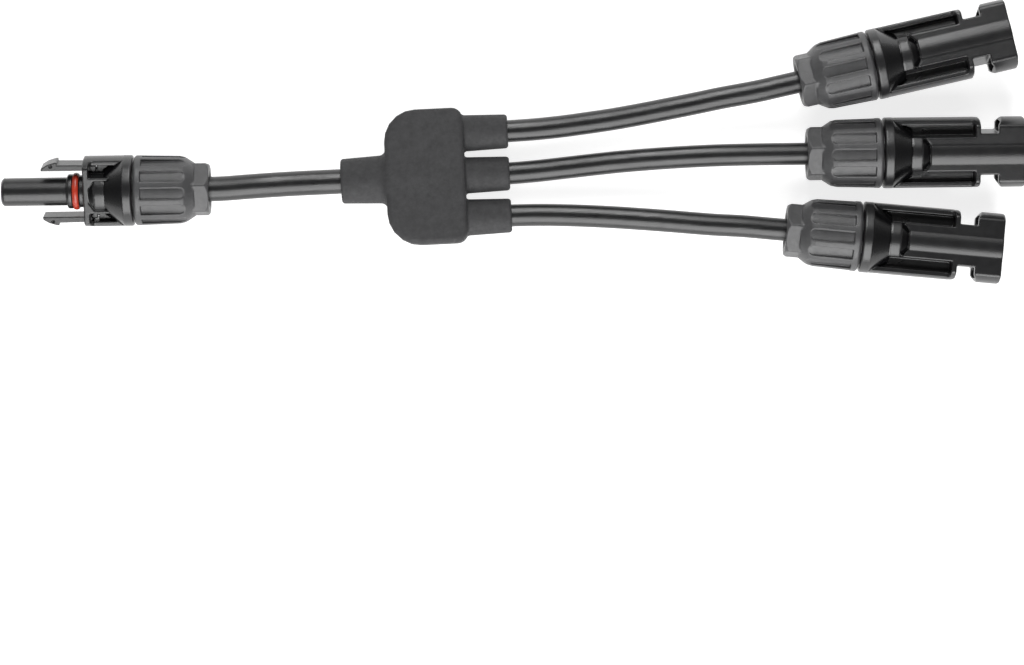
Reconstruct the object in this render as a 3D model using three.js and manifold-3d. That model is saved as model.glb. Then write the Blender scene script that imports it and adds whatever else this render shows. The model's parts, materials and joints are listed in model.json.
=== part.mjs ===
// A three-way solar branch connector lying flat: one trunk lead with a latching probe connector, a moulded
// junction, and three branch leads with shell connectors. Millimetres, +Z up. The origin is the centre of the
// junction's flat underside, +X runs from the trunk to the branches.
import * as THREE from "three";
import { mergeVertices } from "three/addons/utils/BufferGeometryUtils.js";
import Module from "manifold-3d";

const wasm = await Module();
wasm.setup();

// ---------------------------------------------------------------- driving dimensions
const GAP = 0.3; // running and assembly clearance between neighbouring pieces

// Junction moulding, seen from above.
const JUNCTION = { left: -10.6, right: 10.4, halfWidth: 17.85, height: 14,
                   trunkCorner: 8.4, branchCorner: 2.7 };
const JUNCTION_EDGE = 1.5; // rounding of its upper and lower rims
const LEAD_Z = JUNCTION.height / 2; // height of the leads inside the junction
const BRANCH_PITCH = 11.2; // distance between neighbouring branch leads at the junction
const TRUNK_BOOT = { tip: 22.6, rootRadius: 6.6, tipRadius: 5.9, lip: 0.7 };
const BRANCH_BOOT = { tip: 22.2, rootRadius: 5.0, tipRadius: 4.5, lip: 0.7 };

// Leads: sheath and conductor radius, and route points along the connector's axis from the nut's rear face.
const TRUNK_LEAD = { sheath: 3.3, conductor: 1.5, run: [3, 7, 14, 21] };
const BRANCH_LEAD = { sheath: 2.95, conductor: 1.15, run: [-11, -5, 1, 7, 14, 21] };
const SHEATH_START = 8.8; // where the sheath begins, from the junction's centre
const CONDUCTOR_START = 3.4; // where the bare conductor begins, inside the splice

// Splice bar inside the junction.
const SPLICE = { halfLength: 2.5, halfWidth: 13.2, halfThick: 1.0, barrelEnd: 8.0, barrelWall: 0.8 };

// Connectors, measured along their own axis from the nut's rear face.
const AXIS_Z = 9.5; // height of the connector axes: the rims rest on the same plane as the junction
const NUT = { length: 19.7, hexFlats: 13, hexEnd: 4.6, hexChamfer: 0.95,
              mouthRadius: 4.2, mouthChamfer: 0.8 };
const NUT_BODY = { start: 4, startRadius: 7.1, domeEnd: 7.8, domeRadius: 9, radius: 9.3, edge: 0.45 };
const NUT_GROOVES = { count: 12, width: 3.05, floorRadius: 8.4, start: 6.1, end: 17.8 };
const THREAD = { start: 11.5, radius: 7.5, boreRadius: 7.9 };
const CHAMBER = { radius: 5.8, end: 22.5 }; // the housing's rear bore, for cage and seal
const RIM = { start: 20.2, radius: 9.4, end: 22.5, edge: 0.45 };
const BAND = { start: 27.75, end: 30.2, radius: 6.5, coneRadius: 6.2 };
const DOME = { end: 32.4, radius: 5.45 }; // falls from the band to the front flats
const BARREL_RADIUS = 6.1;
// The flattened side wings.
const WING = { radius: 9.35, halfHeight: 5.55, railHalfHeight: 3.0, webHalf: 0.9 };
// Blind pockets beside the barrel, and the eight-sided recess round the dome.
const SHELL_POCKET = { inner: 4.55, outer: 7.5, recess: [[30.75, 4.8], [32.45, 2.45]] };
const PROBE_POCKET = { inner: 4.85, outer: 7.6, recess: [[30.2, 4.1], [31.8, 1.95]] };
const SHELL = { front: 57.4, pocketEnd: 44.3, railEnd: 45.6, railCorner: 1.4,
                headStart: 50.4, neckHalf: 5.5 };
const PROBE_BORE = { mouthRadius: 4.75, mouthEnd: 52.6, radius: 3.8, end: 35.1 };
const PLATE = { start: 31.6, end: 33.1 }; // the probe housing's front plate
const SLOT = { inner: 5.7, outer: 8.2, halfHeight: 3.3 }; // latch slots in the shell's head
const PROBE = { stubRadius: 4.25, grooveStart: 34.45, grooveEnd: 36.25, grooveRadius: 3.75,
                collarRadius: 4.55, collarEnd: 37.6, tubeRadius: 3.73, tip: 55.1, boreRadius: 3.1,
                boreEnd: 53.5, mouthRadius: 2.35 };
const SOCKET = { end: 52.9, boreStart: 37, recessStart: 42, recessEnd: 48.5 };
const ORING = { radius: 4.35, axialHalf: 0.8, radialHalf: 0.55 };
const FINGER = { root: 29.9, footEnd: 31.3, footInner: 5.4, footOuter: 7.2, inner: 6.25, outer: 7.75,
                 shoulder: 40, barb: 8.55, barbEnd: 40.6, tip: 44.4, halfWidth: 2.9 };
const PIN = { radius: 2, taperStart: 48.5, tip: 50 };

// Where each connector lies: the nut's rear centre, its heading about Z, and its turn about its own axis.
const TRUNK_PLACE = { x: -57.4, y: -0.5, heading: 178.1, roll: -17, nutRoll: 6 };
const BRANCH_PLACES = [
  { x: 99.86, y: 20.45, heading: 10.1, roll: -9, nutRoll: 13 },
  { x: 101.1, y: 1.3, heading: -2.1, roll: 9.5, nutRoll: -9 },
  { x: 94.5, y: -18.6, heading: -7.8, roll: 0.5, nutRoll: -10 },
];

// The leads' routes between the junction and the straight run into each connector.
const TRUNK_ROUTE = [
  [-8.8, 0, 7], [-14, 0, 7], [-19, 0, 7], [-24, 0, 7.05], [-28, 0, 7.4], [-32, -0.02, 7.95],
  [-36, -0.06, 8.6], [-40, -0.13, 9.15], [-44, -0.22, 9.45], [-48.4, -0.34, 9.5], [-53.6, -0.49, 9.5],
];
const BRANCH_ROUTES = [
  [[8.8, 11.2, 7], [14, 11.2, 7], [19, 11.2, 7], [24, 11.25, 7], [30, 11.4, 7.1], [37, 11.8, 7.4],
   [44, 12.4, 7.8], [51, 13.1, 8.2], [58, 14, 8.6], [65, 15, 8.95], [72, 16.05, 9.2], [79, 17.15, 9.4]],
  [[8.8, 0, 7], [14, 0, 7], [19, 0, 7], [24, 0.05, 7], [30, 0.3, 7.1], [37, 0.75, 7.4],
   [44, 1.2, 7.8], [51, 1.6, 8.2], [58, 1.85, 8.6], [65, 2, 8.95], [72, 2.05, 9.2], [79, 2, 9.4]],
  [[8.8, -11.2, 7], [14, -11.2, 7], [19, -11.2, 7], [24, -11.25, 7], [30, -11.45, 7.1], [36.5, -11.85, 7.4],
   [43, -12.4, 7.8], [49.5, -13.05, 8.2], [56, -13.8, 8.6], [62.5, -14.6, 8.95], [69, -15.45, 9.2],
   [75.5, -16.28, 9.4]],
];
const CONDUCTOR_END = 28; // where the conductor ends inside the crimp barrel

// Facets round a full turn.
const COARSE = 16;
const FINE = 24;

// ---------------------------------------------------------------- materials
const material = (color, roughness, metalness) =>
  new THREE.MeshStandardMaterial({ color, roughness, metalness });
const HOUSING_PLASTIC = material(0x1d1d1f, 0.42, 0);
const NUT_PLASTIC = material(0x4c4c4e, 0.62, 0);
const MOULDING_RUBBER = material(0x39393b, 0.85, 0);
const SHEATH_RUBBER = material(0x242426, 0.5, 0);
const SEAL_RUBBER = material(0x55585a, 0.8, 0);
const RING_SILICONE = material(0xb8281a, 0.45, 0);
const TINNED_COPPER = material(0xb9bbbd, 0.3, 1);
const BARE_COPPER = material(0xb4673c, 0.35, 1);

// ---------------------------------------------------------------- solid helpers
// A closed three.js geometry as a manifold solid.
function solid(geometry) {
  const bare = geometry.index ? geometry.toNonIndexed() : geometry.clone();
  bare.deleteAttribute("normal");
  bare.deleteAttribute("uv");
  const merged = mergeVertices(bare, 1e-4);
  const corners = merged.index.array;
  const kept = [];
  for (let i = 0; i < corners.length; i += 3) {
    const [a, b, c] = [corners[i], corners[i + 1], corners[i + 2]];
    if (a !== b && b !== c && c !== a) kept.push(a, b, c);
  }
  const vertProperties = new Float32Array(merged.attributes.position.array);
  return new wasm.Manifold(new wasm.Mesh({ numProp: 3, vertProperties, triVerts: new Uint32Array(kept) }));
}

function geometryOf(manifold) {
  const mesh = manifold.getMesh();
  const geometry = new THREE.BufferGeometry();
  geometry.setAttribute("position", new THREE.BufferAttribute(mesh.vertProperties, 3));
  geometry.setIndex(new THREE.BufferAttribute(mesh.triVerts, 1));
  geometry.computeVertexNormals();
  return geometry;
}

const joined = (...solids) => solids.reduce((sum, next) => sum.add(next));
const cut = (body, ...tools) => tools.reduce((left, tool) => left.subtract(tool), body);

// A solid of revolution about X. The profile is a closed loop of [x, radius] points, counted clockwise
// when x points right and radius points up.
function turned(profile, facets = FINE) {
  const loop = [...profile, profile[0]].map(([x, radius]) => new THREE.Vector2(radius, x));
  return solid(new THREE.LatheGeometry(loop, facets).rotateZ(-Math.PI / 2));
}

// A round bar along X between two stations.
const bar = (from, to, radius, facets = FINE) =>
  turned([[from, 0], [from, radius], [to, radius], [to, 0]], facets);

// A box given by its low and high bounds along each axis.
function block([x0, x1], [y0, y1], [z0, z1]) {
  const box = new THREE.BoxGeometry(x1 - x0, y1 - y0, z1 - z0);
  return solid(box.translate((x0 + x1) / 2, (y0 + y1) / 2, (z0 + z1) / 2));
}

// A flat outline in X and Y, extruded from z = low to z = high.
function plate(outline, low, high) {
  const shape = new THREE.Shape(outline.map(([x, y]) => new THREE.Vector2(x, y)));
  const options = { depth: high - low, bevelEnabled: false };
  return solid(new THREE.ExtrudeGeometry(shape, options).translate(0, 0, low));
}

const bothSides = (tool) => tool.add(tool.mirror([0, 1, 0]));
const aboveAndBelow = (tool) => tool.add(tool.mirror([0, 0, 1]));

// ---------------------------------------------------------------- shared connector pieces
// The bore that every housing has behind its contact, as a cutting tool.
const chamberTool = () => bar(THREAD.start - 1, CHAMBER.end, CHAMBER.radius, COARSE);

// Spigot, rim and the cone that leads down to the band, shared by both housings.
const housingRear = () => turned([
  [THREAD.start, 0], [THREAD.start, THREAD.radius - 0.6], [THREAD.start + 0.8, THREAD.radius],
  [RIM.start, THREAD.radius], [RIM.start, RIM.radius - RIM.edge], [RIM.start + RIM.edge, RIM.radius],
  [RIM.end, RIM.radius], [BAND.start, BAND.coneRadius], [BAND.start, 0],
]);

// The raised band and the dome in front of it.
const housingBand = () => turned([
  [BAND.start - 1, 0], [BAND.start - 1, BAND.coneRadius], [BAND.start, BAND.radius],
  [BAND.end, BAND.radius], [DOME.end, DOME.radius], [DOME.end, 0],
]);

// The two flattened side wings, from the rim to the given station.
function wings(end) {
  const round = bar(RIM.end - 1, end, WING.radius);
  return round.intersect(block([RIM.end - 1, end], [-12, 12], [-WING.halfHeight, WING.halfHeight]));
}

// Blind pockets above and below the web, and the step down to the rails outside them.
function pocketTools(end, { inner, outer }) {
  const pockets = block([RIM.end, end], [inner, outer], [WING.webHalf, 12]);
  const steps = block([RIM.end, end], [inner, 12], [WING.railHalfHeight, 12]);
  return bothSides(aboveAndBelow(pockets.add(steps)));
}

// The recess that leaves the cone, band and dome free of the wings' flats.
function recessTool({ recess }) {
  const front = [...recess].reverse();
  const below = [[RIM.end, -recess[0][1]], ...recess.map(([x, y]) => [x, -y])];
  const outline = [...below, ...front, [RIM.end, recess[0][1]]];
  return aboveAndBelow(plate(outline, WING.webHalf, 12));
}

// One nut groove, pointing along +Z: round at the rear and square at the front.
function grooveTool() {
  const { width, floorRadius, start, end } = NUT_GROOVES;
  const half = width / 2;
  const rear = [90, 126, 162, 198, 234, 270].map((turn) => {
    const angle = THREE.MathUtils.degToRad(turn);
    return [start + half + half * Math.cos(angle), half * Math.sin(angle)];
  });
  return plate([[end, half], ...rear, [end, -half]], floorRadius, NUT_BODY.radius + 1);
}

function glandNut() {
  const { length, hexFlats, hexEnd, hexChamfer, mouthRadius, mouthChamfer } = NUT;
  const { start, startRadius, domeEnd, domeRadius, radius, edge } = NUT_BODY;
  const coneEnd = 9.5;
  const body = turned([
    [start, 0], [start, startRadius], [domeEnd - 1.4, domeRadius - 0.35], [domeEnd, domeRadius],
    [length - edge, radius], [length, radius - edge], [length, 0],
  ]);
  const hexRadius = hexFlats / Math.sqrt(3);
  const prism = solid(new THREE.CylinderGeometry(hexRadius, hexRadius, hexEnd, 6)
    .rotateZ(-Math.PI / 2).translate(hexEnd / 2, 0, 0)).rotate([90, 0, 0]);
  const hex = prism.intersect(turned([
    [0, 0], [0, hexRadius - hexChamfer], [hexChamfer, hexRadius], [hexChamfer, hexRadius + 1],
    [hexEnd, hexRadius + 1], [hexEnd, 0],
  ]));
  const bore = turned([
    [-1, 0], [-1, mouthRadius + mouthChamfer + 1], [mouthChamfer, mouthRadius], [3.5, mouthRadius],
    [coneEnd, 6.2], [coneEnd + 0.4, THREAD.boreRadius], [length + 1, THREAD.boreRadius], [length + 1, 0],
  ], COARSE);
  // A hexagon corner points along +Z, between two grooves.
  const { count } = NUT_GROOVES;
  const turns = Array.from({ length: count }, (_, i) => 360 / count * (i + 0.5));
  const grooves = turns.map((turn) => grooveTool().rotate([turn, 0, 0]));
  return cut(joined(body, hex), ...grooves, bore);
}

// The ring with wedge fingers that the nut's cone presses onto the sheath.
function clampCage(lead) {
  const inner = lead.sheath + 0.35;
  const outer = CHAMBER.radius - GAP;
  const ring = turned([[5.2, inner], [5.2, inner + 0.6], [9, outer], [12.2, outer], [12.2, inner]], COARSE);
  const slot = block([4, 9], [-0.45, 0.45], [0, 9]);
  return cut(ring, ...[0, 60, 120, 180, 240, 300].map((angle) => slot.rotate([angle, 0, 0])));
}

function glandSeal(lead) {
  const inner = lead.sheath + GAP;
  const outer = CHAMBER.radius - GAP;
  return turned([[12.5, inner], [12.5, outer], [15.5, outer], [16, outer - 0.4], [16.5, outer],
    [19.5, outer], [19.5, inner]], COARSE);
}

// The crimp barrel and retaining collar that both contacts share.
function crimpEnd(lead) {
  const bore = lead.conductor + GAP;
  const outer = bore + 0.75;
  const body = turned([
    [22, 0], [22, outer], [30, outer], [30.4, 2], [31, 2], [31, 2.7], [32.4, 2.7], [32.4, 0],
  ], COARSE);
  return body.subtract(bar(21, CONDUCTOR_END + GAP, bore, COARSE));
}

function pinContact(lead) {
  const { radius, taperStart, tip } = PIN;
  const profile = [[32, 0], [32, radius], [taperStart, radius], [tip - 0.4, 1.5], [tip, 0.8], [tip, 0]];
  return crimpEnd(lead).add(turned(profile, COARSE));
}

function socketContact(lead) {
  const { end, boreStart, recessStart, recessEnd } = SOCKET;
  const sleeve = turned([[32, 0], [32, 2.3], [33, 2.85], [end - 0.4, 2.85], [end, 2.6], [end, 0]], COARSE);
  const bore = turned([
    [boreStart, 0], [boreStart, 2.1], [recessStart, 2.1], [recessStart, 2.6], [recessEnd, 2.6],
    [recessEnd, 2.1], [end - 0.3, 2.1], [end + 0.2, 2.4], [end + 0.2, 0],
  ], COARSE);
  const slit = block([recessEnd + 1, end + 1], [-0.25, 0.25], [-4, 4]);
  return cut(joined(crimpEnd(lead), sleeve), bore, slit);
}

// The louvred band that grips the mating pin, inside the socket's recess.
function contactBand() {
  const [from, to] = [SOCKET.recessStart + GAP, SOCKET.recessEnd - GAP];
  return turned([[from, 2.13], [from, 2.38], [to, 2.38], [to, 2.13]], COARSE);
}

// ---------------------------------------------------------------- shell connector housing
function shellHousing() {
  const { front, pocketEnd, railEnd, railCorner, headStart, neckHalf } = SHELL;
  const side = WING.radius + 0.1;
  const outline = (sign) => [
    [RIM.end - 2, 0], [RIM.end - 2, side], [railEnd - railCorner, side],
    [railEnd - 0.3 * railCorner, side - 0.3 * railCorner], [railEnd, side - railCorner], [railEnd, neckHalf],
    [headStart, neckHalf], [headStart, 7.6], [headStart + 1.1, side], [front - 0.4, side],
    [front, side - 0.4], [front, 0],
  ].map(([x, y]) => [x, y * sign]);
  const plan = joined(plate(outline(1), -6, 6), plate(outline(-1).reverse(), -6, 6));
  const pockets = pocketTools(pocketEnd, SHELL_POCKET);
  const flats = cut(wings(front).intersect(plan), pockets, recessTool(SHELL_POCKET));
  const neckSides = bothSides(block([railEnd, headStart], [neckHalf, 8], [-8, 8]));
  const barrel = cut(bar(DOME.end - 0.1, front, BARREL_RADIUS), neckSides);
  const body = joined(housingRear(), cut(joined(housingBand(), barrel), pockets), flats);
  const slotHeight = [-SLOT.halfHeight, SLOT.halfHeight];
  const slots = bothSides(block([headStart - 1, front + 1], [SLOT.inner, SLOT.outer], slotHeight));
  const { end, radius, mouthEnd, mouthRadius } = PROBE_BORE;
  const probeBore = turned([
    [end, 0], [end, radius], [mouthEnd - 0.5, radius], [mouthEnd, mouthRadius],
    [front + 1, mouthRadius], [front + 1, 0],
  ]);
  const contactBore = joined(bar(21, 32.8, 3.1, COARSE), bar(30, end + 1, 2.35, COARSE));
  return cut(body, slots, probeBore, contactBore, chamberTool());
}

// ---------------------------------------------------------------- probe connector housing and its pieces
function probeHousing() {
  const pockets = pocketTools(PLATE.start, PROBE_POCKET);
  const flats = cut(wings(PLATE.end), pockets, recessTool(PROBE_POCKET));
  const band = cut(housingBand(), pockets);
  const nose = turned([
    [BAND.end, 0], [BAND.end, PROBE.stubRadius], [PROBE.grooveStart, PROBE.stubRadius],
    [PROBE.grooveStart, PROBE.grooveRadius], [PROBE.grooveEnd, PROBE.grooveRadius],
    [PROBE.grooveEnd, PROBE.collarRadius], [PROBE.collarEnd - 0.4, PROBE.collarRadius],
    [PROBE.collarEnd, PROBE.collarRadius - 0.4], [PROBE.collarEnd, PROBE.tubeRadius],
    [PROBE.tip - 0.6, PROBE.tubeRadius], [PROBE.tip, PROBE.tubeRadius - 0.5], [PROBE.tip, 0],
  ]);
  const fingerSlots = bothSides(block([FINGER.root - 2 * GAP, PLATE.end + 1],
    [FINGER.footInner - GAP, FINGER.outer + GAP], [-FINGER.halfWidth - GAP, FINGER.halfWidth + GAP]));
  // The plate stays solid inboard of the finger, so that the finger's foot hooks behind it.
  const landSides = [FINGER.footInner - GAP, FINGER.inner - GAP];
  const plateLand = bothSides(block([PLATE.start, PLATE.end], landSides, [-4, 4]));
  const bore = turned([
    [CHAMBER.end - 1, 0], [CHAMBER.end - 1, PROBE.boreRadius], [PROBE.boreEnd, PROBE.boreRadius],
    [PROBE.boreEnd, PROBE.mouthRadius], [PROBE.tip + 1, PROBE.mouthRadius], [PROBE.tip + 1, 0],
  ], COARSE);
  const body = joined(housingRear(), band, flats, nose);
  return cut(joined(cut(body, fingerSlots), plateLand), bore, chamberTool());
}

const sealingRing = () => {
  const sides = 10;
  const middle = (PROBE.grooveStart + PROBE.grooveEnd) / 2;
  const loop = Array.from({ length: sides }, (_, i) => {
    const angle = -2 * Math.PI * i / sides;
    return [middle + ORING.axialHalf * Math.cos(angle), ORING.radius + ORING.radialHalf * Math.sin(angle)];
  });
  return turned(loop);
};

function latchFinger(side) {
  const { root, footEnd, footInner, footOuter, inner, outer, shoulder, barb, barbEnd, tip } = FINGER;
  const outline = [
    [root, footInner], [footEnd, footInner], [footEnd, inner], [tip, inner], [tip - 0.4, inner + 0.95],
    [tip - 1.9, barb - 0.55], [barbEnd, barb], [shoulder, barb], [shoulder, outer + 0.1],
    [footEnd, outer], [footEnd, footOuter], [root, footOuter],
  ];
  const finger = plate(outline, -FINGER.halfWidth, FINGER.halfWidth);
  return side > 0 ? finger : finger.mirror([0, 1, 0]);
}

// ---------------------------------------------------------------- junction pieces
const branchOffsets = [BRANCH_PITCH, 0, -BRANCH_PITCH];

// A round boot along X, from the moulding at x = root to its lipped end at x = tip, both measured outwards.
const boot = ({ tip, rootRadius, tipRadius, lip }, root) =>
  turned([[root, 0], [root, rootRadius], [tip - lip, tipRadius], [tip, tipRadius - lip], [tip, 0]]);

function junctionMoulding() {
  const { left, right, halfWidth, height, trunkCorner, branchCorner } = JUNCTION;
  const e = JUNCTION_EDGE;
  const shape = new THREE.Shape();
  const [x0, x1, y1] = [left + e, right - e, halfWidth - e];
  const [big, small] = [trunkCorner - e, Math.max(branchCorner - e, 0.2)];
  shape.moveTo(x0, -y1 + big);
  shape.absarc(x0 + big, -y1 + big, big, Math.PI, 1.5 * Math.PI);
  shape.absarc(x1 - small, -y1 + small, small, 1.5 * Math.PI, 2 * Math.PI);
  shape.absarc(x1 - small, y1 - small, small, 0, 0.5 * Math.PI);
  shape.absarc(x0 + big, y1 - big, big, 0.5 * Math.PI, Math.PI);
  const rounding = { bevelSize: e, bevelThickness: e, bevelSegments: 3, curveSegments: 5 };
  const options = { depth: height - 2 * e, ...rounding };
  const slab = solid(new THREE.ExtrudeGeometry(shape, options).translate(0, 0, e));
  const trunkBoot = boot(TRUNK_BOOT, 4).rotate([0, 0, 180]).translate([0, 0, LEAD_Z]);
  const branchBoots = branchOffsets.map((y) => boot(BRANCH_BOOT, 4).translate([0, y, LEAD_Z]));
  const trunkBore = joined(
    bar(SHEATH_START - GAP, 30, TRUNK_LEAD.sheath + GAP, COARSE),
    bar(1, SHEATH_START, TRUNK_LEAD.conductor + GAP + SPLICE.barrelWall + GAP, COARSE),
  ).rotate([0, 0, 180]).translate([0, 0, LEAD_Z]);
  const branchBores = branchOffsets.map((y) => joined(
    bar(SHEATH_START - GAP, 30, BRANCH_LEAD.sheath + GAP, COARSE),
    bar(1, SHEATH_START, BRANCH_LEAD.conductor + GAP + SPLICE.barrelWall + GAP, COARSE),
  ).translate([0, y, LEAD_Z]));
  const [hx, hy, hz] = [SPLICE.halfLength + GAP, SPLICE.halfWidth + GAP, SPLICE.halfThick + GAP];
  const spliceSpace = block([-hx, hx], [-hy, hy], [LEAD_Z - hz, LEAD_Z + hz]);
  return cut(joined(slab, trunkBoot, ...branchBoots), trunkBore, ...branchBores, spliceSpace);
}

function spliceBar() {
  const { halfLength, halfWidth, halfThick, barrelEnd, barrelWall } = SPLICE;
  const barrel = (lead) => bar(halfLength - 0.5, barrelEnd, lead.conductor + GAP + barrelWall, COARSE)
    .subtract(bar(CONDUCTOR_START - GAP, barrelEnd + 1, lead.conductor + GAP, COARSE));
  const strip = block([-halfLength, halfLength], [-halfWidth, halfWidth], [-halfThick, halfThick]);
  const branches = branchOffsets.map((y) => barrel(BRANCH_LEAD).translate([0, y, 0]));
  return joined(strip, barrel(TRUNK_LEAD).rotate([0, 0, 180]), ...branches).translate([0, 0, LEAD_Z]);
}

// ---------------------------------------------------------------- leads
const circle = (radius, sides) => Array.from({ length: sides }, (_, i) => {
  const angle = 2 * Math.PI * i / sides;
  return new THREE.Vector2(radius * Math.cos(angle), radius * Math.sin(angle));
});

// A point on a connector's axis, at a distance from the nut's rear face.
function onAxis(place, distance) {
  const heading = THREE.MathUtils.degToRad(place.heading);
  const ahead = new THREE.Vector3(Math.cos(heading), Math.sin(heading), 0);
  return new THREE.Vector3(place.x, place.y, AXIS_Z).addScaledVector(ahead, distance);
}

function routePoints(route, place, lead) {
  return [...route.map((p) => new THREE.Vector3(...p)), ...lead.run.map((d) => onAxis(place, d))];
}

function sheath(points, lead) {
  const section = new THREE.Shape(circle(lead.sheath, 8));
  section.holes.push(new THREE.Path(circle(lead.conductor + GAP, 8)));
  const extrudePath = new THREE.CatmullRomCurve3(points);
  return solid(new THREE.ExtrudeGeometry(section, { steps: 14, extrudePath }));
}

function conductor(points, lead) {
  const inside = points[0].clone();
  inside.x = Math.sign(inside.x) * CONDUCTOR_START;
  const forward = points.at(-1).clone().sub(points.at(-2)).normalize();
  const end = points.at(-1).clone().addScaledVector(forward, CONDUCTOR_END - lead.run.at(-1));
  const section = new THREE.Shape(circle(lead.conductor, 6));
  const extrudePath = new THREE.CatmullRomCurve3([inside, ...points, end]);
  return solid(new THREE.ExtrudeGeometry(section, { steps: 16, extrudePath }));
}

// ---------------------------------------------------------------- assembly
const connector = new THREE.Group();

function addPiece(parent, name, manifold, finish) {
  const mesh = new THREE.Mesh(geometryOf(manifold), finish);
  mesh.name = name;
  parent.add(mesh);
  return mesh;
}

// Nested groups that carry a connector's pieces: its place and heading, then its turn about its own axis.
function placeGroups(place) {
  const seat = new THREE.Group();
  seat.position.set(place.x, place.y, AXIS_Z);
  seat.rotation.z = THREE.MathUtils.degToRad(place.heading);
  const body = new THREE.Group();
  body.rotation.x = THREE.MathUtils.degToRad(place.roll);
  const nut = new THREE.Group();
  nut.rotation.x = THREE.MathUtils.degToRad(place.nutRoll);
  seat.add(body, nut);
  connector.add(seat);
  return { body, nut };
}

function addGland(groups, name, lead) {
  addPiece(groups.nut, `${name}_gland_nut`, glandNut(), NUT_PLASTIC);
  addPiece(groups.nut, `${name}_clamp_cage`, clampCage(lead), HOUSING_PLASTIC);
  addPiece(groups.body, `${name}_gland_seal`, glandSeal(lead), SEAL_RUBBER);
}

function addLead(name, route, place, lead) {
  const points = routePoints(route, place, lead);
  addPiece(connector, `${name}_cable_sheath`, sheath(points, lead), SHEATH_RUBBER);
  addPiece(connector, `${name}_cable_conductor`, conductor(points, lead), BARE_COPPER);
}

addPiece(connector, "junction_moulding", junctionMoulding(), MOULDING_RUBBER);
addPiece(connector, "junction_splice_bar", spliceBar(), TINNED_COPPER);

const trunk = placeGroups(TRUNK_PLACE);
addPiece(trunk.body, "trunk_probe_housing", probeHousing(), HOUSING_PLASTIC);
addPiece(trunk.body, "trunk_sealing_ring", sealingRing(), RING_SILICONE);
addPiece(trunk.body, "trunk_socket_contact", socketContact(TRUNK_LEAD), TINNED_COPPER);
addPiece(trunk.body, "trunk_contact_band", contactBand(), TINNED_COPPER);
addPiece(trunk.body, "trunk_latch_finger_left", latchFinger(1), HOUSING_PLASTIC);
addPiece(trunk.body, "trunk_latch_finger_right", latchFinger(-1), HOUSING_PLASTIC);
addGland(trunk, "trunk", TRUNK_LEAD);
addLead("trunk", TRUNK_ROUTE, TRUNK_PLACE, TRUNK_LEAD);

BRANCH_PLACES.forEach((place, i) => {
  const name = `branch_${i + 1}`;
  const groups = placeGroups(place);
  addPiece(groups.body, `${name}_shell_housing`, shellHousing(), HOUSING_PLASTIC);
  addPiece(groups.body, `${name}_pin_contact`, pinContact(BRANCH_LEAD), TINNED_COPPER);
  addGland(groups, name, BRANCH_LEAD);
  addLead(name, BRANCH_ROUTES[i], place, BRANCH_LEAD);
});

export default connector;
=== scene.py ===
"""Looks of the solar branch connector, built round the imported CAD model.

Lengths in the shape functions are millimetres. A connector's own frame has x ahead from the gland
nut's rear face, y towards its side and z up; the junction is in the record's frame. A shape is a
signed distance, negative inside, and contour() turns it into a mesh.
"""

import json
import math

import bpy
import numpy as np
from mathutils import Matrix, Vector


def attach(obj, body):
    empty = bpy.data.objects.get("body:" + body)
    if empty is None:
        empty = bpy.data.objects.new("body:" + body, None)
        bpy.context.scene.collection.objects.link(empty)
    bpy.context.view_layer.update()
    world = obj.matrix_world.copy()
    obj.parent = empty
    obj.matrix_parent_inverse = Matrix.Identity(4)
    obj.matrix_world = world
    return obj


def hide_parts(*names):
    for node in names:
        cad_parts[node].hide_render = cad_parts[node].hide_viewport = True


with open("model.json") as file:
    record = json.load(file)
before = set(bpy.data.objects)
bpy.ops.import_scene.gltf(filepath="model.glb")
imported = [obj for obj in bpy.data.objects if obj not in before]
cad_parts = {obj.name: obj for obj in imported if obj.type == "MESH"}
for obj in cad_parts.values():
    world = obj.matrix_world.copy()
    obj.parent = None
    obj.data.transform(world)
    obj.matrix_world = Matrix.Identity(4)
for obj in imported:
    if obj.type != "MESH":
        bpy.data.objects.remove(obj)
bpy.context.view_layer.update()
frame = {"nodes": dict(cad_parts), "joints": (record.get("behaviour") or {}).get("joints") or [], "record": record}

MM = 0.001
RECORD = frame["record"]
JOINTS = {joint["name"]: joint for joint in frame["joints"]}
MOUNTS = {mount["name"]: mount for mount in RECORD["mounts"]}
BRANCHES = ("branch_1", "branch_2", "branch_3")
CONNECTORS = ("trunk", *BRANCHES)
SHEATH = {"trunk": 3.3, "branch_1": 2.95, "branch_2": 2.95, "branch_3": 2.95}  # radii
# How far each nut is turned about its connector's axis, in degrees.
NUT_TURN = {"trunk": 6, "branch_1": 13, "branch_2": -9, "branch_3": -10}
AXIS_Z = 9.5  # the height of the connectors' axes
JUNCTION_HEIGHT = 14
LEAD_Z, LEAD_PITCH = 7, 11.2  # the leads' height and spacing in the junction
LEAD_START = 8.8  # how far from the junction's middle each lead begins
TRUNK_TIP, BRANCH_TIP = 22.6, 22.2  # and how far each boot reaches


# ---------------------------------------------------------------- places
def axes_matrix(origin, ahead, up):
    """The matrix of a frame at origin, with x along ahead and z near up."""
    side = up.cross(ahead).normalized()
    matrix = Matrix((ahead, side, ahead.cross(side))).transposed().to_4x4()
    matrix.translation = origin
    return matrix


def connector_places(name):
    """The frames of a connector's housing and of its nut, from the record's joints and mounts."""
    joint = JOINTS[f"{name}_nut_turn"]
    origin = Vector(joint["pos_m"])
    ahead = -Vector(joint["axis"]).normalized()
    face = MOUNTS["trunk_probe_face" if name == "trunk" else f"{name}_shell_face"]
    offset = Vector(face["pos_m"]) - origin
    housing_up = (offset - ahead * offset.dot(ahead)).normalized()
    nut_up = Matrix.Rotation(math.radians(NUT_TURN[name]), 3, ahead) @ Vector((0, 0, 1))
    return axes_matrix(origin, ahead, housing_up), axes_matrix(origin, ahead, nut_up)


PLACES = {name: connector_places(name) for name in CONNECTORS}


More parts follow.
